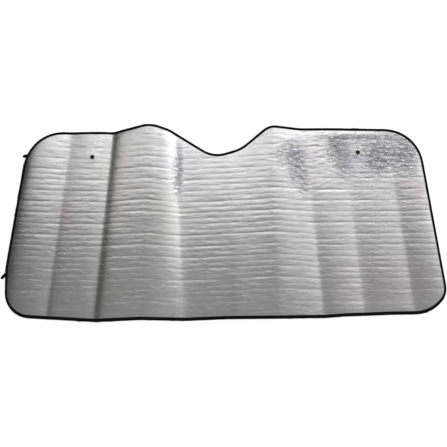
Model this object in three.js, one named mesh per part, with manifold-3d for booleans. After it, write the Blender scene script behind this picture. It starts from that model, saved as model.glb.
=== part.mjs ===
// A folding sunshade for a car's windscreen, lying open on a flat surface.
// One sheet of foil-faced foam in ten concertina panels, bound all round with
// fabric tape, with a mirror notch, two eyelets and two elastic loops.
// Millimetres. +X is the right side, +Y the top edge with the notch, +Z is up.

import * as THREE from 'three';
import { mergeVertices } from 'three/addons/utils/BufferGeometryUtils.js';
import Module from 'manifold-3d';

const wasm = await Module();
wasm.setup();

// The sheet
const SHEET_THICKNESS = 3.2;
const LEFT_TOP_X = -590;
const LEFT_SHOULDER_X = -645;
const LEFT_SHOULDER_Y = -140;
const LEFT_BOTTOM_X = -641;
const LEFT_BOTTOM_Y = -282;
const RIGHT_TOP_X = 579;
const RIGHT_SHOULDER_X = 651;
const RIGHT_SHOULDER_Y = -220;
const RIGHT_BOTTOM_X = 593;
const RIGHT_BOTTOM_Y = -273;
const LEFT_TOP_EDGE_Y = 272;
const RIGHT_TOP_EDGE_Y = 281;
const LOWEST_X = -376;
const LOWEST_Y = -295;
const TOP_LEFT_RADIUS = 112;
const TOP_RIGHT_RADIUS = 108;
const BOTTOM_LEFT_RADIUS = 76;
const BOTTOM_RIGHT_RADIUS = 108;
const SHOULDER_RADIUS = 60;
const KINK_RADIUS = 20;

// The mirror notch and the two humps beside it
const LEFT_FOOT_X = -334;
const LEFT_HUMP_X = -226;
const LEFT_HUMP_Y = 300;
const LEFT_HUMP_RADIUS = 96;
const NOTCH_SHOULDER_X = -161;
const NOTCH_SHOULDER_Y = 278;
const NOTCH_SHOULDER_RADIUS = 112;
const NOTCH_X = -34;
const NOTCH_Y = 196;
const NOTCH_RADIUS = 80;
const NOTCH_KNEE_X = 48;
const NOTCH_KNEE_Y = 221;
const NOTCH_KNEE_RADIUS = 116;
const RIGHT_HUMP_X = 133;
const RIGHT_HUMP_Y = 294;
const RIGHT_HUMP_RADIUS = 50;
const RIGHT_FOOT_X = 226;
const RIGHT_FOOT_Y = 285;
const RIGHT_FOOT_RADIUS = 60;

// The creases run from the top edge to the bottom edge and fan out downwards.
// Each has its x at CREASE_REACH above and below the middle, and its height.
const CREASE_REACH = 300;
const CREASES = [
  { topX: -460, bottomX: -517, height: 0 },
  { topX: -334, bottomX: -376, height: 0 },
  { topX: -249, bottomX: -245, height: 13 },
  { topX: -137, bottomX: -117, height: 0 },
  { topX: 11, bottomX: 10, height: 3.5 },
  { topX: 143, bottomX: 165, height: 0 },
  { topX: 241, bottomX: 291, height: 0 },
  { topX: 353, bottomX: 405, height: 0 },
  { topX: 494, bottomX: 557, height: 0 },
];
const RIGHT_RIM_HEIGHT = 2;

// Each panel swells up between its creases: how far, and where its crown
// starts and ends, as fractions of its width.
const PANELS = [
  { swell: 13, crownStart: 0.3, crownEnd: 0.55 },
  { swell: 11, crownStart: 0.45, crownEnd: 0.68 },
  { swell: 4, crownStart: 0.3, crownEnd: 0.5 },
  { swell: 2, crownStart: 0.4, crownEnd: 0.6 },
  { swell: 4, crownStart: 0.4, crownEnd: 0.6 },
  { swell: 4, crownStart: 0.4, crownEnd: 0.6 },
  { swell: 9, crownStart: 0.35, crownEnd: 0.6 },
  { swell: 10, crownStart: 0.3, crownEnd: 0.55 },
  { swell: 11, crownStart: 0.18, crownEnd: 0.42 },
  { swell: 9, crownStart: 0.4, crownEnd: 0.65 },
];

// The grooves pressed across the foil: deep ones, and shallow ones half way
const GROOVE_PITCH = 33.2;
const GROOVE_OFFSET = -3;
const DEEP_GROOVE = 1.7;
const SHALLOW_GROOVE = 0.8;
const GROOVE_FADE = 18;
const ROWS_PER_GROOVE = 4;
const PLAIN_ROW = 160;

// The fabric tape folded over the edge
const TAPE_THICKNESS = 0.8;
const TAPE_WIDTH = 9.5;
const CLEARANCE = 0.3;

// The eyelets
const LEFT_EYELET = { x: -396.5, y: 195 };
const RIGHT_EYELET = { x: 399, y: 210 };
const EYELET_BORE = 7;
const EYELET_WALL = 0.7;
const FLANGE_DIAMETER = 14;
const FLANGE_THICKNESS = 0.9;
const WASHER_THICKNESS = 0.8;
const ROLLED_LIP = 1.1;
const ROUND_STEPS = 24;

// The elastic loops lie flat under the left edge, each with its tip outside it
const ELASTIC_WIDTH = 8;
const ELASTIC_THICKNESS = 1.1;
const ELASTIC_SLIT = 0.4;
const LOOP_LENGTH = 112;
const UPPER_LOOP = { edgeY: 198, outside: 9, turn: 4 };
const LOWER_LOOP = { edgeY: -158, outside: 16, turn: 31 };

// Drawing accuracy
const ARC_STEP = THREE.MathUtils.degToRad(12);
const BEND_STEPS = 5;
const MARGIN = 40;

// Materials

const foil = new THREE.MeshStandardMaterial({ color: 0xc9cacc, roughness: 0.3, metalness: 1 });
const tape = new THREE.MeshStandardMaterial({ color: 0x101012, roughness: 0.85, metalness: 0 });
const eyeletBlack = new THREE.MeshStandardMaterial({ color: 0x0c0c0d, roughness: 0.4, metalness: 0.2 });
const elasticBlack = new THREE.MeshStandardMaterial({ color: 0x0e0e10, roughness: 0.9, metalness: 0 });

// Solids

function toSolid(geometry) {
  const bare = geometry.clone();
  bare.deleteAttribute('normal');
  bare.deleteAttribute('uv');
  const merged = mergeVertices(bare);
  return new wasm.Manifold(new wasm.Mesh({
    numProp: 3,
    vertProperties: merged.attributes.position.array,
    triVerts: merged.index.array,
  }));
}

function toGeometry(solid) {
  const mesh = solid.getMesh();
  const geometry = new THREE.BufferGeometry();
  geometry.setAttribute('position', new THREE.BufferAttribute(mesh.vertProperties, 3));
  geometry.setIndex(new THREE.BufferAttribute(mesh.triVerts, 1));
  geometry.computeVertexNormals();
  return geometry;
}

function named(name, geometry, material) {
  const mesh = new THREE.Mesh(geometry, material);
  mesh.name = name;
  return mesh;
}

// The outline: straight edges between corners, each corner rounded.
// Clockwise from the top left, seen from above.

const CORNERS = [
  { x: LEFT_TOP_X, y: LEFT_TOP_EDGE_Y, radius: TOP_LEFT_RADIUS },
  { x: LEFT_FOOT_X, y: LEFT_TOP_EDGE_Y, radius: KINK_RADIUS },
  { x: LEFT_HUMP_X, y: LEFT_HUMP_Y, radius: LEFT_HUMP_RADIUS },
  { x: NOTCH_SHOULDER_X, y: NOTCH_SHOULDER_Y, radius: NOTCH_SHOULDER_RADIUS },
  { x: NOTCH_X, y: NOTCH_Y, radius: NOTCH_RADIUS },
  { x: NOTCH_KNEE_X, y: NOTCH_KNEE_Y, radius: NOTCH_KNEE_RADIUS },
  { x: RIGHT_HUMP_X, y: RIGHT_HUMP_Y, radius: RIGHT_HUMP_RADIUS },
  { x: RIGHT_FOOT_X, y: RIGHT_FOOT_Y, radius: RIGHT_FOOT_RADIUS },
  { x: RIGHT_TOP_X, y: RIGHT_TOP_EDGE_Y, radius: TOP_RIGHT_RADIUS },
  { x: RIGHT_SHOULDER_X, y: RIGHT_SHOULDER_Y, radius: SHOULDER_RADIUS },
  { x: RIGHT_BOTTOM_X, y: RIGHT_BOTTOM_Y, radius: BOTTOM_RIGHT_RADIUS },
  { x: LOWEST_X, y: LOWEST_Y, radius: KINK_RADIUS },
  { x: LEFT_BOTTOM_X, y: LEFT_BOTTOM_Y, radius: BOTTOM_LEFT_RADIUS },
  { x: LEFT_SHOULDER_X, y: LEFT_SHOULDER_Y, radius: SHOULDER_RADIUS },
];

function around(list, index) {
  return list[(index + list.length) % list.length];
}

// The outline moved outwards by a distance, or inwards if it is negative.
function outline(outwards) {
  const points = [];
  CORNERS.forEach((corner, index) => {
    const here = new THREE.Vector2(corner.x, corner.y);
    const before = around(CORNERS, index - 1);
    const after = around(CORNERS, index + 1);
    const back = new THREE.Vector2(before.x, before.y).sub(here);
    const on = new THREE.Vector2(after.x, after.y).sub(here);
    const room = Math.min(back.length(), on.length()) / 2;
    back.normalize();
    on.normalize();
    const halfAngle = Math.acos(back.dot(on)) / 2;
    const radius = Math.min(corner.radius, room * Math.tan(halfAngle));
    const outerSide = Math.sign(back.cross(on));
    const middle = back.clone().add(on).normalize();
    const centre = here.clone().addScaledVector(middle, radius / Math.sin(halfAngle));
    const arcRadius = radius + outerSide * outwards;
    const sweep = Math.PI - 2 * halfAngle;
    const steps = Math.max(1, Math.ceil(sweep / ARC_STEP));
    const outwardAngle = middle.angle() + Math.PI;
    for (let step = 0; step <= steps; step += 1) {
      const angle = outwardAngle + outerSide * sweep * (0.5 - step / steps);
      points.push(new THREE.Vector2(
        centre.x + arcRadius * Math.cos(angle),
        centre.y + arcRadius * Math.sin(angle),
      ));
    }
  });
  return points;
}

const EDGE = outline(0);

// Where the sheet's left edge is at a height in the outline.
function leftEdgeX(y) {
  const crossings = EDGE.flatMap((point, index) => {
    const next = around(EDGE, index + 1);
    const share = (y - point.y) / (next.y - point.y);
    return share >= 0 && share <= 1 ? [THREE.MathUtils.lerp(point.x, next.x, share)] : [];
  });
  return Math.min(...crossings);
}

const TOP_Y = Math.max(...EDGE.map((point) => point.y)) + MARGIN;
const BOTTOM_Y = Math.min(...EDGE.map((point) => point.y)) - MARGIN;

// An upright prism over the outline.
function prism(outwards) {
  const geometry = new THREE.ExtrudeGeometry(new THREE.Shape(outline(outwards)), {
    depth: 2 * MARGIN + SHEET_THICKNESS,
    bevelEnabled: false,
  });
  geometry.translate(0, 0, -MARGIN);
  return toSolid(geometry);
}

// The folds: fold lines from top to bottom, straight slopes between them.
// The first and last run beside the outline's sides, just outside the tape.
// A panel rises to its crown, stays level there and falls in two slopes.

const TAPE_REACH = CLEARANCE + TAPE_THICKNESS;
const LOOP_HEIGHT = 2 * ELASTIC_THICKNESS + ELASTIC_SLIT;

function rim(topCorner, shoulder, outwards, height) {
  const xAt = (y) => THREE.MathUtils.mapLinear(y, topCorner.y, shoulder.y, topCorner.x, shoulder.x);
  return {
    topX: xAt(CREASE_REACH) + outwards,
    bottomX: xAt(-CREASE_REACH) + outwards,
    height,
  };
}

const LEFT_RIM = rim(
  { x: LEFT_TOP_X, y: LEFT_TOP_EDGE_Y },
  { x: LEFT_SHOULDER_X, y: LEFT_SHOULDER_Y },
  -2 * TAPE_REACH,
  LOOP_HEIGHT,
);
const RIGHT_RIM = rim(
  { x: RIGHT_TOP_X, y: RIGHT_TOP_EDGE_Y },
  { x: RIGHT_SHOULDER_X, y: RIGHT_SHOULDER_Y },
  2 * TAPE_REACH,
  RIGHT_RIM_HEIGHT,
);

const RISE_BEND = 0.5;
const RISE_SHARE = 0.68;
const FALL_BEND = 0.55;
const FALL_SHARE = 0.6;

function between(from, to, share) {
  return {
    topX: THREE.MathUtils.lerp(from.topX, to.topX, share),
    bottomX: THREE.MathUtils.lerp(from.bottomX, to.bottomX, share),
    height: THREE.MathUtils.lerp(from.height, to.height, share),
  };
}

function foldLines() {
  const ends = [LEFT_RIM, ...CREASES, RIGHT_RIM];
  const lines = [];
  PANELS.forEach((panel, index) => {
    const steps = [
      { share: 0, swell: 0 },
      { share: panel.crownStart * RISE_BEND, swell: RISE_SHARE },
      { share: panel.crownStart, swell: 1 },
      { share: panel.crownEnd, swell: 1 },
      { share: THREE.MathUtils.lerp(panel.crownEnd, 1, FALL_BEND), swell: FALL_SHARE },
    ];
    steps.forEach((step) => {
      const line = between(ends[index], ends[index + 1], step.share);
      line.height += panel.swell * step.swell;
      lines.push(line);
    });
  });
  lines.push(RIGHT_RIM);
  return lines;
}

// The tape lies on the floor under the lowest creases, the sheet inside it.
const REST_HEIGHT = TAPE_REACH;
const LINES = foldLines();

function lineX(line, y) {
  const share = (CREASE_REACH - y) / (2 * CREASE_REACH);
  return THREE.MathUtils.lerp(line.topX, line.bottomX, share);
}

// Height of the sheet's underside at a place.
function undersideHeight(x, y) {
  const found = LINES.findIndex((line) => lineX(line, y) > x);
  const next = found < 0 ? LINES.length - 1 : Math.max(found, 1);
  const left = LINES[next - 1];
  const right = LINES[next];
  const share = (x - lineX(left, y)) / (lineX(right, y) - lineX(left, y));
  return REST_HEIGHT + THREE.MathUtils.lerp(left.height, right.height, share);
}

// A thick folded slab, wider than the sheet, with a vertex wherever a row
// crosses a fold line. upper and lower give its faces' heights above the
// sheet's underside, at a place and in a row.
function foldedSlab(rowYs, lower, upper) {
  const columns = LINES.length - 1;
  const rows = rowYs.length - 1;
  const box = new THREE.BoxGeometry(columns, rows, 1, columns, rows, 1);
  const position = box.attributes.position;
  for (let index = 0; index < position.count; index += 1) {
    const column = Math.round(position.getX(index) + columns / 2);
    const row = Math.round(position.getY(index) + rows / 2);
    const isUpper = position.getZ(index) > 0;
    const y = rowYs[row];
    const x = lineX(LINES[column], y);
    const offset = isUpper ? upper(x, y, row) : lower(x, y, row);
    position.setXYZ(index, x, y, REST_HEIGHT + LINES[column].height + offset);
  }
  return toSolid(box);
}

// Rows across the sheet, on whole steps from the first groove.
function rowsEvery(step) {
  const first = Math.floor((BOTTOM_Y - GROOVE_OFFSET) / step);
  const last = Math.ceil((TOP_Y - GROOVE_OFFSET) / step);
  return Array.from({ length: last - first + 1 }, (_, index) => (
    { y: GROOVE_OFFSET + (first + index) * step, number: first + index }
  ));
}

const GROOVE_ROWS = rowsEvery(GROOVE_PITCH / ROWS_PER_GROOVE);
const PLAIN_YS = rowsEvery(PLAIN_ROW).map((row) => row.y);

// The grooves run out before the edge and round the eyelets.
function distanceToEdge(x, y) {
  const place = new THREE.Vector3(x, y, 0);
  const nearest = new THREE.Vector3();
  const distances = EDGE.map((point, index) => {
    const next = around(EDGE, index + 1);
    const side = new THREE.Line3(
      new THREE.Vector3(point.x, point.y, 0),
      new THREE.Vector3(next.x, next.y, 0),
    );
    return side.closestPointToPoint(place, true, nearest).distanceTo(place);
  });
  return Math.min(...distances);
}

function groovePart(x, y) {
  const fromEyelets = [LEFT_EYELET, RIGHT_EYELET].map((eyelet) => (
    Math.hypot(x - eyelet.x, y - eyelet.y) - FLANGE_DIAMETER
  ));
  const distance = Math.min(distanceToEdge(x, y), ...fromEyelets);
  return THREE.MathUtils.smoothstep(distance, 0, GROOVE_FADE);
}

function grooveDepth(x, y, row) {
  const turn = THREE.MathUtils.euclideanModulo(GROOVE_ROWS[row].number, ROWS_PER_GROOVE);
  const depth = turn === 0 ? DEEP_GROOVE : SHALLOW_GROOVE;
  return turn % 2 === 0 ? depth * groovePart(x, y) : 0;
}

// The sheet: between its plain underside and its grooved face, cut to the
// outline and pierced for the eyelets.

const BARREL_RADIUS = EYELET_BORE / 2 + EYELET_WALL;

function eyeletHole(eyelet) {
  const hole = new THREE.CylinderGeometry(
    BARREL_RADIUS + CLEARANCE,
    BARREL_RADIUS + CLEARANCE,
    4 * MARGIN,
    ROUND_STEPS,
  );
  hole.rotateX(Math.PI / 2);
  hole.translate(eyelet.x, eyelet.y, 0);
  return toSolid(hole);
}

function foilSheet() {
  const grooveYs = GROOVE_ROWS.map((row) => row.y);
  const face = (x, y, row) => SHEET_THICKNESS - grooveDepth(x, y, row);
  const underFace = foldedSlab(grooveYs, () => -MARGIN, face);
  const overUnderside = foldedSlab(PLAIN_YS, () => 0, () => MARGIN);
  return underFace
    .intersect(overUnderside)
    .intersect(prism(0))
    .subtract(eyeletHole(LEFT_EYELET))
    .subtract(eyeletHole(RIGHT_EYELET));
}

// The binding: the tape goes over the face, round the edge and under the
// back, a clearance away from the sheet.
function edgeBinding() {
  const layer = (gap) => foldedSlab(PLAIN_YS, () => -gap, () => SHEET_THICKNESS + gap);
  const outside = layer(TAPE_REACH).intersect(prism(TAPE_REACH));
  const inside = layer(CLEARANCE).intersect(prism(CLEARANCE));
  return outside.subtract(inside).subtract(prism(-TAPE_WIDTH));
}

// The eyelets: a flange and a barrel in one, and a washer on the back that
// the barrel's end is rolled over.

function ring(profile) {
  const points = profile.map(([radius, height]) => new THREE.Vector2(radius, height));
  const geometry = new THREE.LatheGeometry([...points, points[0]], ROUND_STEPS);
  geometry.rotateX(Math.PI / 2);
  return toGeometry(toSolid(geometry));
}

const EYELET_TOP = SHEET_THICKNESS + CLEARANCE;
const WASHER_TOP = -CLEARANCE;
const WASHER_BOTTOM = WASHER_TOP - WASHER_THICKNESS;
const BORE_RADIUS = EYELET_BORE / 2;
const FLANGE_RADIUS = FLANGE_DIAMETER / 2;
const FLANGE_EDGE = FLANGE_THICKNESS / 3;

function eyeletGeometry() {
  const lipTop = WASHER_BOTTOM - CLEARANCE;
  const lipBottom = lipTop - EYELET_WALL;
  return ring([
    [BORE_RADIUS, lipBottom],
    [BARREL_RADIUS + ROLLED_LIP, lipBottom],
    [BARREL_RADIUS + ROLLED_LIP, lipTop],
    [BARREL_RADIUS, lipTop],
    [BARREL_RADIUS, EYELET_TOP],
    [FLANGE_RADIUS, EYELET_TOP],
    [FLANGE_RADIUS, EYELET_TOP + FLANGE_EDGE],
    [FLANGE_RADIUS - FLANGE_EDGE, EYELET_TOP + FLANGE_THICKNESS],
    [BORE_RADIUS + FLANGE_EDGE, EYELET_TOP + FLANGE_THICKNESS],
    [BORE_RADIUS, EYELET_TOP + FLANGE_EDGE],
  ]);
}

function washerGeometry() {
  const holeRadius = BARREL_RADIUS + CLEARANCE;
  return ring([
    [holeRadius, WASHER_BOTTOM],
    [FLANGE_RADIUS, WASHER_BOTTOM],
    [FLANGE_RADIUS, WASHER_TOP],
    [holeRadius, WASHER_TOP],
  ]);
}

function seated(mesh, eyelet) {
  mesh.position.set(eyelet.x, eyelet.y, undersideHeight(eyelet.x, eyelet.y));
  return mesh;
}

// An elastic loop, flattened: a long ring of band on its side. Its outer tip
// is at the origin, its top is level with it and it runs along +X.
function elasticLoop() {
  const radius = LOOP_HEIGHT / 2;
  const stadium = (path, bend) => {
    path.absarc(LOOP_LENGTH - radius, radius, bend, -0.5 * Math.PI, 0.5 * Math.PI, false);
    path.absarc(radius, radius, bend, 0.5 * Math.PI, 1.5 * Math.PI, false);
    return path;
  };
  const band = stadium(new THREE.Shape(), radius);
  band.holes.push(stadium(new THREE.Path(), ELASTIC_SLIT / 2));
  const geometry = new THREE.ExtrudeGeometry(band, {
    depth: ELASTIC_WIDTH,
    bevelEnabled: false,
    curveSegments: BEND_STEPS,
  });
  geometry.translate(0, 0, -ELASTIC_WIDTH / 2);
  geometry.rotateX(Math.PI / 2);
  geometry.translate(0, 0, -LOOP_HEIGHT);
  return toGeometry(toSolid(geometry));
}

// The tape's lowest height over the stretch of left edge that a loop crosses.
function tapeBottom(edgeY) {
  const reach = ELASTIC_WIDTH / 2 + TAPE_REACH;
  const heights = [edgeY - reach, edgeY, edgeY + reach].map((y) => (
    undersideHeight(leftEdgeX(y) - TAPE_REACH, y) - TAPE_REACH
  ));
  return Math.min(...heights);
}

// Each loop is sewn to the tape's underside where it crosses the left edge.
function placedLoop(name, loop) {
  const mesh = named(name, elasticLoop(), elasticBlack);
  const turn = THREE.MathUtils.degToRad(loop.turn);
  mesh.rotation.z = turn;
  mesh.position.set(
    leftEdgeX(loop.edgeY) - loop.outside * Math.cos(turn),
    loop.edgeY - loop.outside * Math.sin(turn),
    tapeBottom(loop.edgeY) - CLEARANCE,
  );
  return mesh;
}

// The sunshade

const sunshade = new THREE.Group();
sunshade.add(named('foil_sheet', toGeometry(foilSheet()), foil));
sunshade.add(named('edge_binding', toGeometry(edgeBinding()), tape));
[['left', LEFT_EYELET], ['right', RIGHT_EYELET]].forEach(([side, eyelet]) => {
  sunshade.add(seated(named(`${side}_eyelet`, eyeletGeometry(), eyeletBlack), eyelet));
  sunshade.add(seated(named(`${side}_eyelet_washer`, washerGeometry(), eyeletBlack), eyelet));
});
sunshade.add(placedLoop('upper_elastic_loop', UPPER_LOOP));
sunshade.add(placedLoop('lower_elastic_loop', LOWER_LOOP));

// The origin is under the middle of the whole, on the floor.
const bounds = new THREE.Box3().setFromObject(sunshade);
const middle = bounds.getCenter(new THREE.Vector3());
sunshade.position.set(-middle.x, -middle.y, 0);
sunshade.updateMatrixWorld(true);

export default sunshade;
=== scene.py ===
"""A foil sunshade for a windscreen, lying open with its creases still in it."""

import math

import bmesh
import bpy
import numpy as np
from mathutils import Matrix, Vector, noise


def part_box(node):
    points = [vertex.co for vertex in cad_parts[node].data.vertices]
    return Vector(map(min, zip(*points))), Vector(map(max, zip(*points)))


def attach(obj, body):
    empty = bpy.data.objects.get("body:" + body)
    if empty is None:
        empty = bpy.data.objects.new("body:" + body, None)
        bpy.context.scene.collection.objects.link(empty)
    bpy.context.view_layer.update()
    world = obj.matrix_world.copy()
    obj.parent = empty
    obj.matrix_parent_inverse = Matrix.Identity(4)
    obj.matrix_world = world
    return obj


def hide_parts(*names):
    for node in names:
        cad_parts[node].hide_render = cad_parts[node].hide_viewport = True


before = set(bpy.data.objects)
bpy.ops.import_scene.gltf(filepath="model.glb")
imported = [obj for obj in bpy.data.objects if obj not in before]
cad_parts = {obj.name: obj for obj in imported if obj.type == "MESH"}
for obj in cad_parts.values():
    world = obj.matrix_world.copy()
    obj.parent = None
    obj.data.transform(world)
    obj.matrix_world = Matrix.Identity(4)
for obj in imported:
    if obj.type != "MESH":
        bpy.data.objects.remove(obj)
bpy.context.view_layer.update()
MM = 0.001

# Sizes, in millimetres. Places are measured from the middle of the sheet, x to
# the right and y to the top edge with the mirror notch.

SHEET_THICKNESS = 3.2
REST_HEIGHT = 2.9
SHEET_LOW, SHEET_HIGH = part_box("foil_sheet")
SHEET_MIDDLE = (SHEET_LOW + SHEET_HIGH) / 2
MIDDLE_X = SHEET_MIDDLE.x / MM
MIDDLE_Y = SHEET_MIDDLE.y / MM

# Corners of the outline, clockwise from the top left: x, y and radius
CORNERS = [
    (-591, 272, 120),
    (-335, 272.5, 20),
    (-227, 298.2, 96),
    (-162, 278.5, 112),
    (-35, 199, 80),
    (47, 222.6, 116),
    (132, 294, 50),
    (225, 284.6, 50),
    (330, 284.6, 20),
    (577, 279, 119),
    (647.6, -220, 60),
    (592, -273, 108),
    (480, -275, 20),
    (345, -280, 20),
    (294, -284, 20),
    (161, -286.5, 30),
    (5, -287.4, 20),
    (-120, -292.4, 20),
    (-245, -290.4, 20),
    (-377, -296, 20),
    (-640, -281.5, 82),
    (-644.8, -140, 60),
]

# Creases: x at the top and at the bottom of their reach, and height at both
CREASE_REACH = 300
CREASES = [
    (-586.5, -666.5, -0.3, -0.3),
    (-461.8, -521.9, 4.0, 3.5),
    (-337.1, -382.7, 1.2, 4.0),
    (-237.2, -243.3, 17.0, 10.0),
    (-150.6, -122.7, 3.5, -0.3),
    (14.3, 21.4, 2.1, 2.1),
    (144.3, 151.0, 11.1, 8.3),
    (237.6, 289.7, 5.0, 2.1),
    (349.4, 408.9, 6.6, 1.7),
    (483.5, 555.1, 9.5, 3.3),
    (590.4, 678.5, 13.8, 9.0),
]
CREASE_ROUNDING = 4.5
SHARP_CREASE = 2
SHARP_CREASE_ROUNDING = 3.0
SHARP_CREASE_SPREAD = 30
ROUNDING_SHARES = (-1, -0.5, 0, 0.5, 1)

# Panels: how far each swells at its top and at its bottom, where its crown is,
# and how far its left end rises steeply out of its crease at top and bottom
PANELS = [
    (2.9, 5.0, 0.61, 6.6, 1.6),
    (7.2, 2.0, 0.71, -1.3, 2.5),
    (1.1, 1.7, 0.35, 4.3, 4.3),
    (7.6, 1.5, 0.49, -2.0, 1.0),
    (-1.0, -1.0, 0.55, -2.0, -2.0),
    (-1.0, -0.6, 0.52, -1.4, 1.7),
    (-0.9, 1.6, 0.71, 1.7, 1.0),
    (0.7, 4.5, 0.42, -0.1, -2.0),
    (-0.1, 3.4, 0.5, -0.1, -2.0),
    (1.8, 4.5, 0.51, 0.7, -2.0),
]
STEEP_REACHES = [19] + 9 * [12.9]

# Grooves pressed across the foil: every second one is shallow
GROOVE_PITCH = 33.2
GROOVE_OFFSET = -2.6
GROOVE_DEPTHS = (0.15, 0.075)
GROOVE_HALF_WIDTH = 3.8
GROOVE_SHARPNESS = 1.4
GROOVE_FADE = 14
GROOVE_WANDER = 1.8
GROOVE_RISES = [0, -5.5, -6.5, 0, -7, -1, 5, -1.5, -0.5, 0, 2]
GROOVE_MARGIN = 5

# How well the grooves have kept their depth, by the share of the way up the sheet
KEPT_AT = (0, 0.45, 0.72, 0.92)
KEPT_DEPTH = (0.45, 1.10, 1.10, 0.60)

# Unevenness along a groove: its length, its change from groove to groove, its start
LONG_FADES = (130, 2.3, 11.5)
SHORT_FADES = (32, 4.9, 17.5)
LONG_STRAY = (70, 3.7, 0.5)
SHORT_STRAY = (19, 5.3, 8.5)

# Crumples: length across and along the sheet, height and start
BROAD_CRUMPLE = (60, 24, 0.14, 2.0)
FINE_CRUMPLE = (14, 7, 0.09, 5.0)
CORNER_CRUMPLE = 0.22

# The crumpled corner: x and y from where and to where it grows
CORNER_ACROSS = (60, 220)
CORNER_ALONG = (40, 170)

# The foil sinks a little under its binding, and is gathered there
FOIL_INSET = 0.1
FOIL_GIVE = 0.2
EDGE_PINCH = 0.85
PINCH_REACH = 22
GATHER_LENGTH = 45
GATHER_START = 9.0
GATHER_SHARE = 1.5
BACK_INSET = 0.4

# Mesh fineness
PANEL_SHARES = [
    0, 0.02, 0.055, 0.11, 0.17, 0.24, 0.31, 0.38, 0.45,
    0.52, 0.59, 0.66, 0.73, 0.8, 0.87, 0.93, 0.975,
]
PAST_FIRST_CREASE = -0.1
GROOVE_STEPS = [0, 1.3, 2.7, 4.6, 8.3, 12.0, 13.9, 15.3]
ARC_STEP = math.radians(5)
PATH_STEP = 8

# Binding tape
TAPE_THICKNESS = 0.8
BOTTOM_TAPE_WIDTH = 9.0
TOP_TAPE_WIDTH = 6.4
SIDE_TAPE_WIDTH = 5.8
TAPE_CLEARANCE = 0.3
TAPE_BEND = 1.9
TAPE_BEND_STEPS = 6
TAPE_SHARES = (1, 0.7, 0.35)
TAPE_FLAT_WIDTH = 23.4
STITCH_PITCH = 4.6
STITCH_LENGTH = 3.1
STITCH_SHARE = 0.74
STITCH_RADIUS = 0.32
STITCH_FLATNESS = 0.8

# Eyelets
EYELETS = {"left_eyelet": (-397.6, 194.6), "right_eyelet": (397.9, 209.6)}
EYELET_BORE_RADIUS = 1.6
EYELET_WALL = 0.9
EYELET_FLANGE_RADIUS = 6.6
EYELET_FLANGE_HEIGHT = 0.9
EYELET_DROP = 5.4
EYELET_SEAT = 0.02
EYELET_MARGIN = 2
EYELET_SIDES = 48
SHEET_HOLE_RADIUS = 4.9
HOLE_SIDES = 12
WASHER_THICKNESS = 0.8
WASHER_GAP = 0.3

# Elastic loops: where the nose of each lies, and the direction that it runs in
ELASTICS = {
    "upper_elastic_loop": ((-609.0, 199.8), math.radians(10)),
    "lower_elastic_loop": ((-657.6, -169.6), math.radians(46)),
}
ELASTIC_LENGTH = 112
ELASTIC_WIDTH = 9.6
ELASTIC_THICKNESS = 0.75
ELASTIC_LOW = 0.45
ELASTIC_BEND = 0.47
ELASTIC_NOSE = 3.8
ELASTIC_STEPS = 26
BEND_STEPS = 6


# Helpers for meshes and materials

def face_outwards(shape):
    """Turns the faces outwards; on an open sheet, so that its highest face looks up."""
    bmesh.ops.recalc_face_normals(shape, faces=shape.faces)
    shape.normal_update()
    highest = max(shape.faces, key=lambda face: face.calc_center_median().z)
    if highest.normal.z < 0:
        bmesh.ops.reverse_faces(shape, faces=shape.faces)


def new_piece(name, mesh_maker, materials):
    """A smooth piece at the origin, riding with the sheet."""
    shape = mesh_maker()
    face_outwards(shape)
    mesh = bpy.data.meshes.new(name)
    shape.to_mesh(mesh)
    shape.free()
    for material in materials:
        mesh.materials.append(material)
    mesh.shade_smooth()
    piece = bpy.data.objects.new(name, mesh)
    bpy.context.scene.collection.objects.link(piece)
    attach(piece, "root")
    return piece


def thicken(piece, thickness, **settings):
    """Gives an open piece its wall."""
    wall = piece.modifiers.new("Solidify", "SOLIDIFY")
    wall.thickness = thickness * MM
    for name, value in settings.items():
        setattr(wall, name, value)


def on_sheet(x, y, z=0.0):
    """A place that is measured from the sheet's middle, as the scene's metres."""
    return Vector(((x + MIDDLE_X) * MM, (y + MIDDLE_Y) * MM, z * MM))


def grid(columns, rows):
    """A flat grid with so many columns and rows of corners."""
    shape = bmesh.new()
    bmesh.ops.create_grid(shape, x_segments=columns - 1, y_segments=rows - 1, size=1)
    return shape


def grid_place(vertex, columns, rows):
    """The column and the row of a grid's corner, from 0."""
    column = round((vertex.co.x + 1) / 2 * (columns - 1))
    row = round((vertex.co.y + 1) / 2 * (rows - 1))
    return column, row


def lay_out_flat(shape, length, width):
    """A UV map on a grid that is still flat: its real length and width."""
    layer = shape.loops.layers.uv.new("along")
    for face in shape.faces:
        for loop in face.loops:
            corner = loop.vert.co
            loop[layer].uv = ((corner.x + 1) / 2 * length * MM, (corner.y + 1) / 2 * width * MM)


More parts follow.
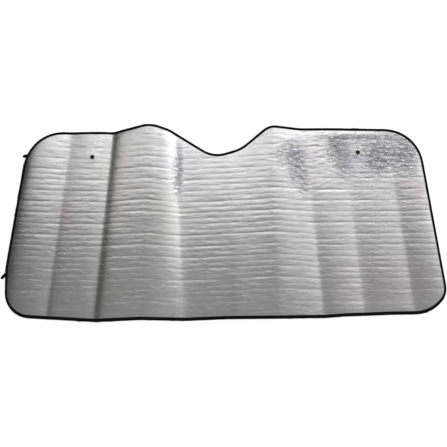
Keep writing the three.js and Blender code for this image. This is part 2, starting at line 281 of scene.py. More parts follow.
class Nodes:
    """Short calls for the nodes of a material or of the surroundings."""

    def __init__(self, tree):
        self.tree = tree

    def node(self, kind, inputs=None, **settings):
        node = self.tree.nodes.new(kind)
        for name, value in settings.items():
            setattr(node, name, value)
        for name, value in (inputs or {}).items():
            if isinstance(value, bpy.types.NodeSocket):
                self.tree.links.new(value, node.inputs[name])
            else:
                node.inputs[name].default_value = value
        return node

    def math(self, operation, first, second=0.0, third=0.0):
        values = {0: first, 1: second, 2: third}
        return self.node("ShaderNodeMath", values, operation=operation).outputs[0]

    def product(self, first, *others):
        for factor in others:
            first = self.math("MULTIPLY", first, factor)
        return first

    def vectors(self, operation, first, second=(0, 0, 0), output="Vector"):
        values = {0: first, 1: second}
        return self.node("ShaderNodeVectorMath", values, operation=operation).outputs[output]

    def spread(self, value, low, high, to_low=0.0, to_high=1.0, kind="LINEAR"):
        """The value, carried from one range to another and kept inside it."""
        ends = {"Value": value, "From Min": low, "From Max": high}
        ends.update({"To Min": to_low, "To Max": to_high})
        return self.node("ShaderNodeMapRange", ends, interpolation_type=kind).outputs["Result"]

    def eased(self, value, low, high, to_low=0.0, to_high=1.0):
        """The same, with a soft start and a soft end."""
        return self.spread(value, low, high, to_low, to_high, kind="SMOOTHSTEP")


class Finish(Nodes):
    """A material and short calls for its textures."""

    def __init__(self, name, **settings):
        self.material = bpy.data.materials.new(name)
        self.material.use_nodes = True
        super().__init__(self.material.node_tree)
        self.shader = self.tree.nodes["Principled BSDF"]
        for socket, value in settings.items():
            self.shader.inputs[socket.replace("_", " ")].default_value = value

    def link(self, output, socket):
        self.tree.links.new(output, self.shader.inputs[socket])

    def places(self, scale=(1, 1, 1)):
        """Object coordinates, scaled."""
        coordinates = self.node("ShaderNodeTexCoord").outputs["Object"]
        mapping = self.node("ShaderNodeMapping", {"Vector": coordinates, "Scale": scale})
        return mapping.outputs["Vector"]

    def noise(self, vector, scale, detail=2.0, roughness=0.5, distortion=0.0):
        inputs = {"Vector": vector, "Scale": scale, "Detail": detail}
        inputs.update({"Roughness": roughness, "Distortion": distortion})
        return self.node("ShaderNodeTexNoise", inputs).outputs["Fac"]

    def threads(self, vector, scale, distortion, direction, detail=2.0):
        """Even waves, as of threads that lie side by side."""
        inputs = {"Vector": vector, "Scale": scale, "Distortion": distortion, "Detail": detail}
        return self.node("ShaderNodeTexWave", inputs, bands_direction=direction).outputs["Fac"]

    def shade(self, value, dark, light):
        """A colour between a dark and a light one."""
        ramp = self.node("ShaderNodeValToRGB", {"Fac": value})
        for element, colour in zip(ramp.color_ramp.elements, (dark, light)):
            element.color = (*colour, 1)
        return ramp.outputs["Color"]

    def bump(self, height, strength, distance, under=None):
        inputs = {"Height": height, "Strength": strength, "Distance": distance}
        if under is not None:
            inputs["Normal"] = under
        return self.node("ShaderNodeBump", inputs).outputs["Normal"]


# The outline of the sheet, as points in millimetres

def rounded_corner(before, here, after, outwards):
    """The points of one rounded corner, moved outwards from the sheet."""
    centre_to = np.array(here[:2], float)
    back = np.array(before[:2]) - centre_to
    on = np.array(after[:2]) - centre_to
    room = min(np.linalg.norm(back), np.linalg.norm(on)) / 2
    back = back / np.linalg.norm(back)
    on = on / np.linalg.norm(on)
    half_angle = math.acos(float(back @ on)) / 2
    radius = min(here[2], room * math.tan(half_angle))
    side = math.copysign(1, back[0] * on[1] - back[1] * on[0])
    middle = (back + on) / np.linalg.norm(back + on)
    centre = centre_to + middle * radius / math.sin(half_angle)
    sweep = math.pi - 2 * half_angle
    steps = max(2, math.ceil(sweep / ARC_STEP))
    facing = math.atan2(-middle[1], -middle[0])
    angles = [facing + side * sweep * (0.5 - step / steps) for step in range(steps + 1)]
    reach = radius + side * outwards
    return [centre + reach * np.array([math.cos(a), math.sin(a)]) for a in angles]


def outline(outwards=0.0):
    points = []
    for index, corner in enumerate(CORNERS):
        after = CORNERS[(index + 1) % len(CORNERS)]
        points += rounded_corner(CORNERS[index - 1], corner, after, outwards)
    return np.array(points)


def walked(points, step):
    """The closed outline again, with points a step apart, and their outward directions."""
    closed = np.vstack([points, points[:1]])
    along = np.concatenate([[0], np.cumsum(np.linalg.norm(np.diff(closed, axis=0), axis=1))])
    count = round(along[-1] / step)
    at = np.linspace(0, along[-1], count, endpoint=False)
    places = np.stack([np.interp(at, along, closed[:, k]) for k in range(2)], axis=1)
    ahead = np.roll(places, -1, axis=0) - np.roll(places, 1, axis=0)
    ahead /= np.linalg.norm(ahead, axis=1)[:, None]
    outward = np.stack([-ahead[:, 1], ahead[:, 0]], axis=1)
    return places, outward


EDGE = outline()


def inside(x, y):
    """Whether each place lies inside the outline."""
    result = np.zeros(x.shape, bool)
    following = np.roll(EDGE, -1, axis=0)
    for (ax, ay), (bx, by) in zip(EDGE, following):
        crosses = (ay > y) != (by > y)
        if not crosses.any():
            continue
        meets = ax + (y - ay) / (by - ay if by != ay else 1.0) * (bx - ax)
        result ^= crosses & (x < meets)
    return result


def nearest_on_edge(x, y):
    """The nearest place on the outline, and the distance to it."""
    best = np.full(x.shape, np.inf)
    near_x, near_y = x.copy(), y.copy()
    following = np.roll(EDGE, -1, axis=0)
    for a, b in zip(EDGE, following):
        d = b - a
        share = np.clip(((x - a[0]) * d[0] + (y - a[1]) * d[1]) / (d @ d), 0, 1)
        ex = a[0] + share * d[0]
        ey = a[1] + share * d[1]
        far = np.hypot(x - ex, y - ey)
        closer = far < best
        best[closer] = far[closer]
        near_x[closer] = ex[closer]
        near_y[closer] = ey[closer]
    return near_x, near_y, best


# The folds of the sheet

def share_down(y):
    """Share of the way from the top of the creases' reach to its bottom."""
    return (CREASE_REACH - y) / (2 * CREASE_REACH)


def between(top, bottom, y):
    return top + (bottom - top) * share_down(y)


def crease_x(index, y):
    return between(CREASES[index][0], CREASES[index][1], y)


def crease_height(index, y):
    return between(CREASES[index][2], CREASES[index][3], y)


def arch(share, crown):
    """A panel's swell from 0 at its creases to 1 on its crown."""
    rise = 1 - (1 - share / crown) ** 2
    fall = 1 - ((share - crown) / (1 - crown)) ** 2
    return np.where(share < crown, rise, fall)


def kinked_height(x, y):
    """Height of the sheet's underside over each place, with sharp creases."""
    height = np.zeros(x.shape)
    nowhere = np.zeros(x.shape, bool)
    for index, panel in enumerate(PANELS):
        swell_top, swell_bottom, crown, steep_top, steep_bottom = panel
        left, right = crease_x(index, y), crease_x(index + 1, y)
        share = (x - left) / (right - left)
        before = share < 0 if index > 0 else nowhere
        after = share >= 1 if index < len(PANELS) - 1 else nowhere
        here = ~(before | after)
        share = np.clip(share, 0, 1)
        start, end = crease_height(index, y), crease_height(index + 1, y)
        chord = start + (end - start) * share
        risen = 1 - np.exp(-share * (right - left) / STEEP_REACHES[index])
        steep = between(steep_top, steep_bottom, y) * risen * (1 - share)
        swell = between(swell_top, swell_bottom, y) * arch(share, crown)
        height[here] = (chord + swell + steep)[here]
    return height + REST_HEIGHT


def fold_height(x, y):
    """Height of the sheet's underside over each place, with rounded creases."""
    x, y = np.atleast_1d(np.asarray(x, float)), np.atleast_1d(np.asarray(y, float))
    from_sharp = (x - crease_x(SHARP_CREASE, y)) / SHARP_CREASE_SPREAD
    reach = CREASE_ROUNDING + SHARP_CREASE_ROUNDING * np.exp(-from_sharp ** 2)
    heights = [kinked_height(x + share * reach, y) for share in ROUNDING_SHARES]
    return sum(heights) / len(heights)


# The foil sheet

def groove_profile(offset, depth):
    """Depth of the foil's face at a distance from a groove's middle."""
    away = np.abs(offset) / GROOVE_HALF_WIDTH
    return depth * np.exp(-GROOVE_SHARPNESS * away * away)


def groove_rows():
    """Each row across the sheet: its groove's number and its distance from that groove."""
    half_pitch = GROOVE_PITCH / 2
    first = math.floor((-CREASE_REACH - GROOVE_OFFSET) / half_pitch)
    last = math.ceil((CREASE_REACH + GROOVE_MARGIN - GROOVE_OFFSET) / half_pitch)
    return [(number, step) for number in range(first, last) for step in GROOVE_STEPS]


def foil_columns():
    """Each column of the sheet: its panel and its share of the panel's width."""
    last = len(PANELS) - 1
    within = [(panel, share) for panel in range(last + 1) for share in PANEL_SHARES]
    return [(0, PAST_FIRST_CREASE), *within, (last, 1.0)]


def uneven(x, number, unevenness):
    """A wave from about -1 to 1 along a groove."""
    length, change, start = unevenness
    return noise.noise(Vector((x / length, number * change, start)))


def pressed(x, number):
    """Depth of a groove at a place: it comes and goes, and is worn at the top and bottom."""
    share_up = (number * GROOVE_PITCH / 2 + CREASE_REACH) / (2 * CREASE_REACH)
    kept = np.interp(share_up, KEPT_AT, KEPT_DEPTH)
    fades = 0.8 * uneven(x, number, LONG_FADES) + 0.9 * uneven(x, number, SHORT_FADES)
    return GROOVE_DEPTHS[number % 2] * kept * (1 + fades)


def wander(x, number):
    """How far a groove strays up or down at a place."""
    stray = uneven(x, number, LONG_STRAY) + 0.45 * uneven(x, number, SHORT_STRAY)
    return GROOVE_WANDER * stray


def crossing(column, row):
    """Where a column meets a row: x, y and the depth of the grooves there."""
    panel, share = column
    number, step = row
    half_pitch = GROOVE_PITCH / 2
    rise = GROOVE_RISES[panel] + (GROOVE_RISES[panel + 1] - GROOVE_RISES[panel]) * share
    plain_y = GROOVE_OFFSET + number * half_pitch + step + rise
    left, right = crease_x(panel, plain_y), crease_x(panel + 1, plain_y)
    x = left + (right - left) * share
    part = step / half_pitch
    y = plain_y + (1 - part) * wander(x, number) + part * wander(x, number + 1)
    depth = groove_profile(step, pressed(x, number))
    depth += groove_profile(half_pitch - step, pressed(x, number + 1))
    return x, y, depth


def crinkle(x, y):
    """Height of the foil's crumples at a place: they are highest at the upper right."""
    across, along, broad_height, start = BROAD_CRUMPLE
    broad = noise.noise(Vector((x / across, y / along, start)))
    across, along, fine_height, start = FINE_CRUMPLE
    fine = noise.noise(Vector((x / across, y / along, start)))
    in_corner = np.interp(x, CORNER_ACROSS, (0, 1)) * np.interp(y, CORNER_ALONG, (0, 1))
    return broad_height * broad + (fine_height + CORNER_CRUMPLE * in_corner) * fine


def gathered(x, y):
    return noise.noise(Vector((x / GATHER_LENGTH, y / GATHER_LENGTH, GATHER_START)))


def face_height(x, y, from_edge, depth):
    """Height of the foil's face, with its grooves, its crumples and its pinched edge."""
    fade = np.clip(from_edge / GROOVE_FADE, 0, 1)
    for eyelet_x, eyelet_y in EYELETS.values():
        away = np.hypot(x - eyelet_x, y - eyelet_y) - EYELET_FLANGE_RADIUS - EYELET_MARGIN
        fade = np.minimum(fade, np.clip(away / GROOVE_FADE, 0, 1))
    fade = fade * fade * (3 - 2 * fade)
    crumple = np.array([crinkle(a, b) for a, b in zip(x, y)])
    gathers = np.array([gathered(a, b) for a, b in zip(x, y)])
    near_edge = np.clip(1 - from_edge / PINCH_REACH, 0, 1)
    pinch = EDGE_PINCH * near_edge * near_edge * (1 + GATHER_SHARE * gathers)
    face = fold_height(x, y) + SHEET_THICKNESS - FOIL_INSET
    return face - pinch + fade * (crumple - FOIL_GIVE - depth)


def foil_mesh():
    rows, columns = groove_rows(), foil_columns()
    shape = grid(len(columns), len(rows))
    crossings = []
    for vertex in shape.verts:
        column, row = grid_place(vertex, len(columns), len(rows))
        crossings.append(crossing(columns[column], rows[row]))
    x, y, depth = np.array(crossings).T
    is_inside = inside(x, y)
    near_x, near_y, from_edge = nearest_on_edge(x, y)
    x = np.where(is_inside, x, near_x)
    y = np.where(is_inside, y, near_y)
    z = face_height(x, y, from_edge, depth)
    for index, vertex in enumerate(shape.verts):
        vertex.co = on_sheet(x[index], y[index], z[index])
    outer = [face for face in shape.faces if not any(is_inside[v.index] for v in face.verts)]
    bmesh.ops.delete(shape, geom=outer, context="FACES")
    for place in EYELETS.values():
        punch_hole(shape, on_sheet(*place))
    return shape


def punch_hole(shape, centre):
    """Cuts the round hole for an eyelet's barrel out of the sheet."""
    def faces_within(reach):
        return [
            face for face in shape.faces
            if (face.calc_center_median() - centre).xy.length < reach
        ]

    radius = SHEET_HOLE_RADIUS * MM
    for side in range(HOLE_SIDES):
        angle = 2 * math.pi * side / HOLE_SIDES
        facing = Vector((math.cos(angle), math.sin(angle), 0))
        near = faces_within(4 * radius)
        edges = {edge for face in near for edge in face.edges}
        corners = {corner for face in near for corner in face.verts}
        geometry = near + list(edges) + list(corners)
        at = centre + facing * radius
        bmesh.ops.bisect_plane(shape, geom=geometry, plane_co=at, plane_no=facing)
    bmesh.ops.delete(shape, geom=faces_within(radius), context="FACES")


def patch(foil, places, centre, size):
    """A soft patch of the foil, 1 at its centre and 0 from its edge on."""
    shifted = foil.vectors("SUBTRACT", places, on_sheet(*centre))
    scale = (1 / (size[0] * MM), 1 / (size[1] * MM), 0)
    scaled = foil.vectors("MULTIPLY", shifted, scale)
    away = foil.vectors("LENGTH", scaled, output="Value")
    return foil.eased(away, 1.0, 0.0)


def tinted(foil, colour, amount, tint):
    """The colour so far, multiplied with a tint where the amount is high."""
    settings = {"data_type": "RGBA", "blend_type": "MULTIPLY"}
    mix = foil.node("ShaderNodeMix", {"Factor": amount}, **settings)
    so_far, other = [socket for socket in mix.inputs if socket.type == "RGBA"]
    if isinstance(colour, bpy.types.NodeSocket):
        foil.tree.links.new(colour, so_far)
    else:
        so_far.default_value = colour
    other.default_value = tint
    return next(socket for socket in mix.outputs if socket.type == "RGBA")


SILVER = (0.80, 0.80, 0.80, 1)
WARM = (1.0, 0.94, 0.905, 1)
PINK = (1.0, 0.915, 0.94, 1)
LAVENDER = (0.935, 0.93, 1.0, 1)
OLIVE = (0.975, 0.98, 0.90, 1)

# Painted reflections of coloured surroundings, as tints in the foil: colour, centre and reach
PAINTED_REFLECTION_TINTS = [
    (WARM, (-315, 130), (75, 190)),
    (OLIVE, (-345, -120), (60, 190)),
    (OLIVE, (-185, 10), (60, 110)),
    (LAVENDER, (-385, 60), (30, 120)),
    (LAVENDER, (-130, 170), (70, 110)),
    (PINK, (-480, 20), (60, 70)),
    (LAVENDER, (215, 190), (80, 90)),
    (PINK, (260, 160), (50, 150)),
    (LAVENDER, (440, 190), (150, 90)),
    (PINK, (470, -180), (230, 120)),
    (PINK, (560, 100), (70, 110)),
]

# Painted shade, darkening places of the crumpled foil, a crease and the strip under the top
# tape: centre, reach and strength
PAINTED_SHADE = (0.36, 0.36, 0.385, 1)
PAINTED_SHADE_PATCHES = [
    ((200, 206), (66, 66), 0.6),
    ((216, 165), (44, 92), 0.65),
    ((236, 118), (26, 78), 0.55),
    ((338, 222), (50, 66), 0.85),
    ((352, 170), (40, 68), 0.65),
    ((462, 197), (66, 90), 0.8),
    ((545, 210), (54, 106), 0.8),
    ((400, 257), (180, 13), 0.8),
    ((450, 212), (230, 112), 0.32),
    ((-142, 150), (22, 130), 0.7),
]

# Painted highlights, bright streaks along the tape: centre and reach
PAINTED_HIGHLIGHT = (1.22, 1.22, 1.22, 1)
PAINTED_HIGHLIGHT_STREAKS = [
    ((195, 266), (85, 15)),
    ((345, 272), (50, 9)),
    ((440, 273), (100, 9)),
    ((545, 262), (45, 16)),
]

# The foil's textures: repeats in a metre, and heights in metres
MOTTLE_SCALE = 16
BLOTCH_SCALE = 110
STREAK_SCALE = 60
WRINKLE_SCALE = 90
FACET_SCALE = 62
GRAIN_SCALE = 380
CRUMPLE_HEIGHT = 0.0022
CRUMPLE_STRENGTHS = (0.09, 0.85)
GRAIN_HEIGHT = 0.0004
GRAIN_STRENGTH = 0.36

# How each texture is stretched over the sheet
BLOTCHED = (0.7, 1.5, 1)
STREAKED = (0.25, 2.2, 1)
WRINKLED = (0.55, 1.5, 1)
GRAINED = (1, 1.7, 1)


def silver_colour(foil):
    """The foil's colour with its painted reflection tints, painted shade and painted
    highlights, and how crumpled it is at each place.
    """
    places = foil.places()
    colour = SILVER
    mottle = foil.spread(foil.noise(places, MOTTLE_SCALE), 0.3, 0.6)
    # Painted reflections: tints of coloured surroundings multiplied into the silver
    for tint, centre, size in PAINTED_REFLECTION_TINTS:
        amount = foil.product(patch(foil, places, centre, size), mottle)
        colour = tinted(foil, colour, amount, tint)
    blotches = foil.noise(foil.places(BLOTCHED), BLOTCH_SCALE, detail=3, roughness=0.65)
    blotches = foil.spread(blotches, 0.40, 0.60, 0.45, 1.0)
    crumpled = 0.0
    # Painted shade: the foil's colour darkened in blotches over these places
    for centre, size, strength in PAINTED_SHADE_PATCHES:
        here = foil.product(patch(foil, places, centre, size), strength)
        colour = tinted(foil, colour, foil.product(here, blotches), PAINTED_SHADE)
        crumpled = foil.math("MAXIMUM", crumpled, here)
    streaks = foil.spread(foil.noise(foil.places(STREAKED), STREAK_SCALE), 0.46, 0.54)
    # Painted highlights: the foil's colour brightened in streaks along the tape
    for centre, size in PAINTED_HIGHLIGHT_STREAKS:
        here = foil.math("POWER", patch(foil, places, centre, size), 0.5)
        colour = tinted(foil, colour, foil.product(here, streaks), PAINTED_HIGHLIGHT)
    return colour, crumpled


def foil_finish():
    """Bright silver foil: coarse crumples where painted shade darkens it, and a fine grain all
    over.
    """
    foil = Finish("silver_foil", Metallic=1.0, Roughness=0.13)
    colour, crumpled = silver_colour(foil)
    foil.link(colour, "Base Color")
    stretched = foil.places(WRINKLED)
    wrinkles = foil.noise(
        stretched, WRINKLE_SCALE, detail=2.5, roughness=0.55, distortion=1.0,
    )
    facets = foil.node("ShaderNodeTexVoronoi", {"Vector": stretched, "Scale": FACET_SCALE})
    crumple = foil.math("MULTIPLY_ADD", facets.outputs["Distance"], 0.5, wrinkles)
    strength = foil.spread(crumpled, 0.0, 0.5, *CRUMPLE_STRENGTHS)
    coarse = foil.bump(crumple, strength, CRUMPLE_HEIGHT)
    grain = foil.noise(foil.places(GRAINED), GRAIN_SCALE, detail=3, roughness=0.6)
    foil.link(foil.bump(grain, GRAIN_STRENGTH, GRAIN_HEIGHT, coarse), "Normal")
    return foil.material


def back_finish():
    """The plain, duller foil of the back."""
    back = Finish("foil_back", Base_Color=(0.72, 0.72, 0.73, 1), Metallic=1.0, Roughness=0.4)
    return back.material


# The binding tape

def tape_width(outward):
    """Width of tape on the face: broadest along the bottom edge, narrowest at the sides."""
    facing = outward[:, 1]
    at_bottom = np.clip(-facing, 0, 1) ** 2
    at_top = np.clip(facing, 0, 1) ** 2
    broader = (BOTTOM_TAPE_WIDTH - SIDE_TAPE_WIDTH) * at_bottom
    return SIDE_TAPE_WIDTH + broader + (TOP_TAPE_WIDTH - SIDE_TAPE_WIDTH) * at_top


def tape_section():
    """Places across the folded tape: share of its width inwards, distance outwards, height."""
    reach = TAPE_CLEARANCE + TAPE_THICKNESS
    low = -reach
    high = SHEET_THICKNESS + reach
    middle = (low + high) / 2
    bend = (high - low) / 2
    section = [(share, 0, high) for share in TAPE_SHARES]
    for step in range(TAPE_BEND_STEPS + 1):
        angle = math.pi / 2 - math.pi * step / TAPE_BEND_STEPS
        outwards = reach - TAPE_BEND + TAPE_BEND * math.cos(angle)
        section.append((0, outwards, middle + bend * math.sin(angle)))
    section += [(share, 0, low) for share in reversed(TAPE_SHARES)]
    return section


def on_edge(places, outward, distance, height):
    """Points at a distance outwards from the outline and a height above the underside."""
    moved = places + outward * np.broadcast_to(distance, len(places))[:, None]
    z = fold_height(moved[:, 0], moved[:, 1]) + height
    return np.stack([moved[:, 0] + MIDDLE_X, moved[:, 1] + MIDDLE_Y, z], axis=1) * MM


def tape_mesh():
    places, outward = walked(EDGE, PATH_STEP)
    count = len(places)
    width = tape_width(outward)
    rings = [
        on_edge(places, outward, outwards - width * share, height)
        for share, outwards, height in tape_section()
    ]
    shape = grid(count + 1, len(rings))
    lay_out_flat(shape, count * PATH_STEP, TAPE_FLAT_WIDTH)
    for vertex in shape.verts:
        column, row = grid_place(vertex, count + 1, len(rings))
        vertex.co = rings[row][column % count]
    bmesh.ops.remove_doubles(shape, verts=shape.verts, dist=0.00001)
    return shape


def stitches_mesh():
    """One short stitch after the other, all round the tape."""
    places, outward = walked(EDGE, STITCH_PITCH)
    height = SHEET_THICKNESS + TAPE_CLEARANCE + TAPE_THICKNESS
    middles = on_edge(places, outward, -STITCH_SHARE * tape_width(outward), height)
    ahead = np.roll(middles, -1, axis=0) - middles
    stitch = bmesh.new()
    bmesh.ops.create_uvsphere(stitch, u_segments=6, v_segments=5, radius=STITCH_RADIUS * MM)
    stretch = (STITCH_FLATNESS, 1, STITCH_LENGTH / (2 * STITCH_RADIUS))
    bmesh.ops.scale(stitch, vec=stretch, verts=stitch.verts)
    shape = bmesh.new()
    one = bpy.data.meshes.new("one_stitch")
    for middle, direction in zip(middles, ahead):
        turn = Vector(direction).to_track_quat("Z", "Y").to_matrix().to_4x4()
        placed = stitch.copy()
        placed.transform(Matrix.Translation(middle) @ turn)
        placed.to_mesh(one)
        placed.free()
        shape.from_mesh(one)
    stitch.free()
    bpy.data.meshes.remove(one)
    return shape


def tape_finish():
    """Black woven tape."""
    tape = Finish("black_tape", Roughness=0.8, Specular_IOR_Level=0.12)
    along = tape.node("ShaderNodeUVMap", uv_map="along").outputs["UV"]
    weave = tape.threads(along, 420, 0.4, "DIAGONAL", detail=1.0)
    woven = tape.math("MULTIPLY_ADD", tape.noise(along, 900), 0.5, weave)
    tape.link(tape.bump(woven, 0.5, 0.0003), "Normal")
    tape.link(tape.shade(weave, (0.003, 0.003, 0.0035), (0.008, 0.008, 0.009)), "Base Color")
    return tape.material


def thread_finish():
    black = (0.012, 0.012, 0.013, 1)
    thread = Finish("black_thread", Base_Color=black, Roughness=0.6, Specular_IOR_Level=0.2)
    thread.link(thread.bump(thread.noise(thread.places(), 2600), 0.4, 0.0001), "Normal")
    return thread.material


# The eyelets

def turned(profile, x, y):
    """A profile of (radius, height) turned about an upright axis at a place on the sheet."""
    shape = bmesh.new()
    ring = [shape.verts.new((out * MM, 0, height * MM)) for out, height in profile]
    edges = [shape.edges.new((a, b)) for a, b in zip(ring, ring[1:] + ring[:1])]
    bmesh.ops.spin(
        shape, geom=ring + edges, cent=(0, 0, 0), axis=(0, 0, 1), dvec=(0, 0, 0),
        angle=2 * math.pi, steps=EYELET_SIDES, use_merge=True,
    )
    bmesh.ops.translate(shape, vec=on_sheet(x, y), verts=shape.verts)
    return shape


def eyelet_mesh(x, y):
    """A barrel under a rounded flange."""
    def maker():
        seat = float(fold_height(x, y)[0]) + SHEET_THICKNESS
        bore, rim = EYELET_BORE_RADIUS, EYELET_FLANGE_RADIUS
        barrel = bore + EYELET_WALL
        top = seat + EYELET_FLANGE_HEIGHT
        profile = [
            (bore, seat - EYELET_DROP),
            (bore, top - 0.7),
            (bore + 0.2, top - 0.25),
            (bore + 0.7, top),
            (rim - 1.1, top - 0.1),
            (rim - 0.4, top - 0.35),
            (rim, top - 0.85),
            (rim - 0.1, seat + EYELET_SEAT),
            (barrel, seat + EYELET_SEAT),
            (barrel, seat - EYELET_DROP),
        ]
        return turned(profile, x, y)
    return maker


def washer_mesh(x, y):
    """The flat ring that an eyelet's barrel is set over, on the back of the sheet."""
    def maker():
        high = float(fold_height(x, y)[0]) - WASHER_GAP
        low = high - WASHER_THICKNESS
        inner = EYELET_BORE_RADIUS + EYELET_WALL + WASHER_GAP
        rim = EYELET_FLANGE_RADIUS
        profile = [
            (inner, low + 0.1),
            (inner, high),
            (rim, high),
            (rim, low + 0.2),
            (rim - 0.2, low),
            (inner + 0.1, low),
        ]
        return turned(profile, x, y)
    return maker


def enamel_finish():
    """Black enamel, a little rubbed."""
    black = (0.003, 0.003, 0.0035, 1)
    enamel = Finish("black_enamel", Base_Color=black, Specular_IOR_Level=0.12)
    enamel.link(enamel.bump(enamel.noise(enamel.places(), 900), 0.15, 0.0001), "Normal")
    rubbed = enamel.noise(enamel.places(), 500, detail=3)
    enamel.link(enamel.spread(rubbed, 0.35, 0.75, 0.4, 0.6), "Roughness")
    return enamel.material


# The elastic

def loop_path():
    """The flattened loop from the side: distances from its nose and heights."""
    straight = np.linspace(ELASTIC_LENGTH - ELASTIC_BEND, ELASTIC_BEND, ELASTIC_STEPS)
    bend = np.linspace(-math.pi / 2, math.pi / 2, BEND_STEPS + 2)[1:-1]
    middle = ELASTIC_LOW + ELASTIC_BEND
    along = np.concatenate([
        straight,
        ELASTIC_BEND - ELASTIC_BEND * np.cos(bend),
        straight[::-1],
        ELASTIC_LENGTH - ELASTIC_BEND + ELASTIC_BEND * np.cos(bend),
    ])
    height = np.concatenate([
        np.full(ELASTIC_STEPS, ELASTIC_LOW),
        middle + ELASTIC_BEND * np.sin(bend),
        np.full(ELASTIC_STEPS, middle + ELASTIC_BEND),
        middle - ELASTIC_BEND * np.sin(bend),
    ])
    return along, height


def elastic_mesh(nose, direction):
    """A flat elastic band, folded over at its nose."""
    def maker():
        along, height = loop_path()
        count = len(along)
        shape = grid(count + 1, 5)
        lay_out_flat(shape, 2 * ELASTIC_LENGTH, ELASTIC_WIDTH)
        ahead = np.array([math.cos(direction), math.sin(direction)])
        aside = np.array([-ahead[1], ahead[0]])
        for vertex in shape.verts:
            column = grid_place(vertex, count + 1, 5)[0] % count
            short = max(ELASTIC_NOSE - along[column], 0) / ELASTIC_NOSE
            rounding = ELASTIC_NOSE * (1 - math.sqrt(1 - short * short))
            half_width = ELASTIC_WIDTH / 2 - rounding
            x, y = nose + ahead * along[column] + aside * half_width * vertex.co.y
            vertex.co = on_sheet(x, y, height[column])
        bmesh.ops.remove_doubles(shape, verts=shape.verts, dist=0.000001)
        return shape
    return maker


def elastic_finish():
    """Black woven elastic, with its cords along the band."""
    elastic = Finish("black_elastic", Roughness=0.8, Specular_IOR_Level=0.15)
    along = elastic.node("ShaderNodeUVMap", uv_map="along").outputs["UV"]
    cords = elastic.threads(along, 290, 0.2, "Y")
    weft = elastic.threads(along, 420, 0.3, "X")
    woven = elastic.product(cords, weft)
    elastic.link(elastic.bump(woven, 0.6, 0.0003), "Normal")
    shade = elastic.shade(woven, (0.003, 0.003, 0.0035), (0.010, 0.010, 0.0105))
    elastic.link(shade, "Base Color")
    return elastic.material


foil = new_piece("foil_sheet_skin", foil_mesh, [foil_finish(), back_finish()])
wall = SHEET_THICKNESS - BACK_INSET
thicken(foil, wall, offset=-1, material_offset=1, material_offset_rim=1)
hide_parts("foil_sheet")

tape = new_piece("binding_tape", tape_mesh, [tape_finish()])
thicken(tape, TAPE_THICKNESS, offset=-1)
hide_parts("edge_binding")

stitches = new_piece("binding_stitches", stitches_mesh, [thread_finish()])

enamel = enamel_finish()
for side, (eyelet_x, eyelet_y) in EYELETS.items():
    eyelet = new_piece(f"{side}_ring", eyelet_mesh(eyelet_x, eyelet_y), [enamel])
    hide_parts(side)
    washer = new_piece(f"{side}_washer_ring", washer_mesh(eyelet_x, eyelet_y), [enamel])
    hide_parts(f"{side}_washer")
elastic = elastic_finish()
for node, (nose, direction) in ELASTICS.items():
    band = new_piece(f"{node}_band", elastic_mesh(nose, direction), [elastic])
    thicken(band, ELASTIC_THICKNESS, offset=0)
    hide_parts(node)


# The floor, the light and the camera

FLOOR_REACH = 6
FLOOR_GLOW = 0.72
FLOOR_PAINT = (0.92, 0.92, 0.92, 1)
WHITE = (1, 1, 1, 1)
UNDER_EYELET = (0.03, 0.045)


def white_floor():
    """A white floor; under the eyelets, where the sheet covers it, it doesn't glow."""
    shape = bmesh.new()
    bmesh.ops.create_grid(shape, x_segments=1, y_segments=1, size=FLOOR_REACH)
    mesh = bpy.data.meshes.new("floor")
    shape.to_mesh(mesh)
    shape.free()
    floor = bpy.data.objects.new("floor", mesh)
    bpy.context.scene.collection.objects.link(floor)
    paint = Finish("white_floor", Base_Color=FLOOR_PAINT, Emission_Color=WHITE, Roughness=0.9)
    rays = paint.node("ShaderNodeLightPath").outputs
    seen = paint.math("ADD", rays["Is Camera Ray"], rays["Is Glossy Ray"])
    seen = paint.math("ADD", seen, rays["Is Transmission Ray"])
    places = paint.places()
    for place in EYELETS.values():
        away = paint.vectors("DISTANCE", places, on_sheet(*place), output="Value")
        seen = paint.product(seen, paint.spread(away, *UNDER_EYELET))
    paint.link(paint.product(seen, FLOOR_GLOW), "Emission Strength")
    mesh.materials.append(paint.material)


# The surroundings that the foil mirrors. A place in them is given across, to the
# right, and beyond, away from the camera, both as a share of the height above.
LOWEST_SKY = 0.05
DARKEST_SKY = 0.05
LEFT_AND_RIGHT = (-0.6, 0.6)
NEAR_WALL = (0.13, 0.44)
CEILING = (0.57, 1.16)
FAR_CEILING = (0.22, 1.22)
CEILING_SLANT = 0.148
CEILING_EDGE = (0.143, 0.226)
FAR_CEILING_EDGE = (0.20, 0.30)
HORIZON = (0.10, 0.04)

# What changes the ceiling, in its order: whether it adds light or dims what is
# there, by how much, and the edges across which it fades in
SKY_PARTS = {
    "window": (
        "adds", 0.21,
        [("across", 0.122, -0.018), ("across", -0.461, -0.181), ("beyond", 0.18, 0.25)],
    ),
    "beam": (
        "dims", 0.57,
        [("beyond", 0.203, 0.253), ("beyond", 0.30, 0.28), ("across", -0.009, 0.111)],
    ),
    "top window": (
        "adds", 0.5,
        [("beyond", 0.275, 0.315), ("beyond", 0.40, 0.36), ("across", 0.25, 0.05, 0.5, 1.0)],
    ),
    "far end": ("dims", 0.45, [("beyond", 0.34, 0.5)]),
    "dark screen at the left": (
        "dims", 0.05,
        [
            ("across", -0.34, -1.02), ("across", -1.9, -1.5),
            ("beyond", -0.01, 0.05), ("beyond", 0.52, 0.42),
        ],
    ),
    "far left": ("adds", 0.4, [("across", -1.5, -2.3)]),
    "near left": (
        "adds", 0.35,
        [("across", -0.6, -1.0), ("beyond", 0.03, -0.02), ("across", -2.3, -1.5)],
    ),
    "strip light": (
        "adds", 1.15,
        [("beyond", 0.355, 0.39), ("beyond", 0.47, 0.43), ("across", -0.02, 0.06)],
    ),
    "far right": ("dims", 0.62, [("across", 0.9, 1.7)]),
}


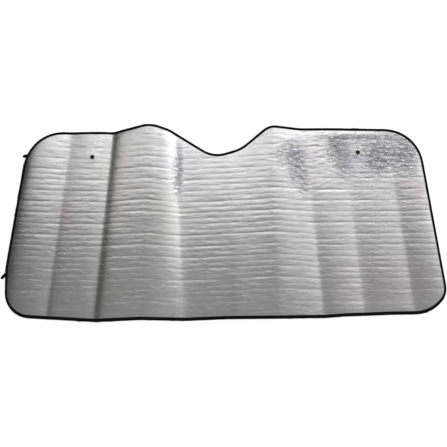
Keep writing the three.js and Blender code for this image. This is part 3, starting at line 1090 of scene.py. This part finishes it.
def ceiling_light(sky, across, beyond):
    """A ceiling that ends toward the camera in a darker wall, both brighter to the right."""
    near_wall = sky.spread(across, *LEFT_AND_RIGHT, *NEAR_WALL)
    ceiling = sky.spread(across, *LEFT_AND_RIGHT, *CEILING)
    far_ceiling = sky.spread(across, *LEFT_AND_RIGHT, *FAR_CEILING)
    slanted = sky.math("MULTIPLY_ADD", across, CEILING_SLANT, beyond)
    share = sky.eased(slanted, *CEILING_EDGE)
    level = sky.math("MULTIPLY_ADD", share, sky.math("SUBTRACT", ceiling, near_wall), near_wall)
    farness = sky.spread(beyond, *FAR_CEILING_EDGE)
    farther = sky.math("SUBTRACT", far_ceiling, ceiling)
    return sky.math("MULTIPLY_ADD", farness, farther, level)


def studio_sky():
    """The light all round: a ceiling with windows, and a white backdrop at the horizon."""
    world = bpy.data.worlds.new("studio")
    world.use_nodes = True
    bpy.context.scene.world = world
    sky = Nodes(world.node_tree)
    direction = sky.node("ShaderNodeTexCoord").outputs["Generated"]
    parts = sky.node("ShaderNodeSeparateXYZ", {0: direction}).outputs
    up = sky.math("MAXIMUM", parts["Z"], LOWEST_SKY)
    ways = {
        "across": sky.math("DIVIDE", parts["X"], up),
        "beyond": sky.math("DIVIDE", parts["Y"], up),
    }
    level = ceiling_light(sky, **ways)
    for effect, amount, edges in SKY_PARTS.values():
        here = sky.product(*[sky.eased(ways[way], *ends) for way, *ends in edges])
        if effect == "adds":
            level = sky.math("MULTIPLY_ADD", here, amount, level)
        else:
            level = sky.product(level, sky.spread(here, 0, 1, 1.0, amount))
            level = sky.math("MAXIMUM", level, DARKEST_SKY)
    rays = sky.node("ShaderNodeLightPath").outputs
    mirrored = sky.math("ADD", rays["Is Glossy Ray"], rays["Is Transmission Ray"])
    horizon = sky.eased(parts["Z"], *HORIZON)
    backdrop = sky.math("MULTIPLY_ADD", mirrored, horizon, rays["Is Camera Ray"])
    background = world.node_tree.nodes["Background"]
    background.inputs["Color"].default_value = WHITE
    strength = sky.math("MAXIMUM", level, backdrop)
    sky.tree.links.new(strength, background.inputs["Strength"])


LAMP_PLACE = Vector((1.6, 2.2, 2.4))
LAMP_WIDTH = 0.8
LAMP_HEIGHT = 0.5
LAMP_POWER = 8


def soft_lamp():
    """A soft lamp behind the sheet at the right, turned to its middle."""
    data = bpy.data.lights.new("softbox", "AREA")
    data.shape = "RECTANGLE"
    data.size = LAMP_WIDTH
    data.size_y = LAMP_HEIGHT
    data.energy = LAMP_POWER
    lamp = bpy.data.objects.new("softbox", data)
    lamp.location = LAMP_PLACE
    lamp.rotation_euler = (-LAMP_PLACE).to_track_quat("-Z", "Y").to_euler()
    bpy.context.scene.collection.objects.link(lamp)


CAMERA_ELEVATION = math.radians(80)
CAMERA_DISTANCE = 2.517
CAMERA_TARGET = Vector((0.0025, -0.0046, 0.0))
SENSOR_WIDTH = 36
FRAME_PIXELS = 447
FOCAL_PIXELS = 847.5


def photo_camera():
    """A camera at the photograph's angle, with the photograph's frame."""
    data = bpy.data.cameras.new("camera")
    data.sensor_width = SENSOR_WIDTH
    data.lens = SENSOR_WIDTH * FOCAL_PIXELS / FRAME_PIXELS
    camera = bpy.data.objects.new("camera", data)
    away = Vector((0, -math.cos(CAMERA_ELEVATION), math.sin(CAMERA_ELEVATION)))
    camera.location = CAMERA_TARGET + away * CAMERA_DISTANCE
    camera.rotation_euler = (math.pi / 2 - CAMERA_ELEVATION, 0, 0)
    bpy.context.scene.collection.objects.link(camera)
    bpy.context.scene.camera = camera


white_floor()
studio_sky()
soft_lamp()
photo_camera()
bpy.context.scene.view_settings.view_transform = "Standard"
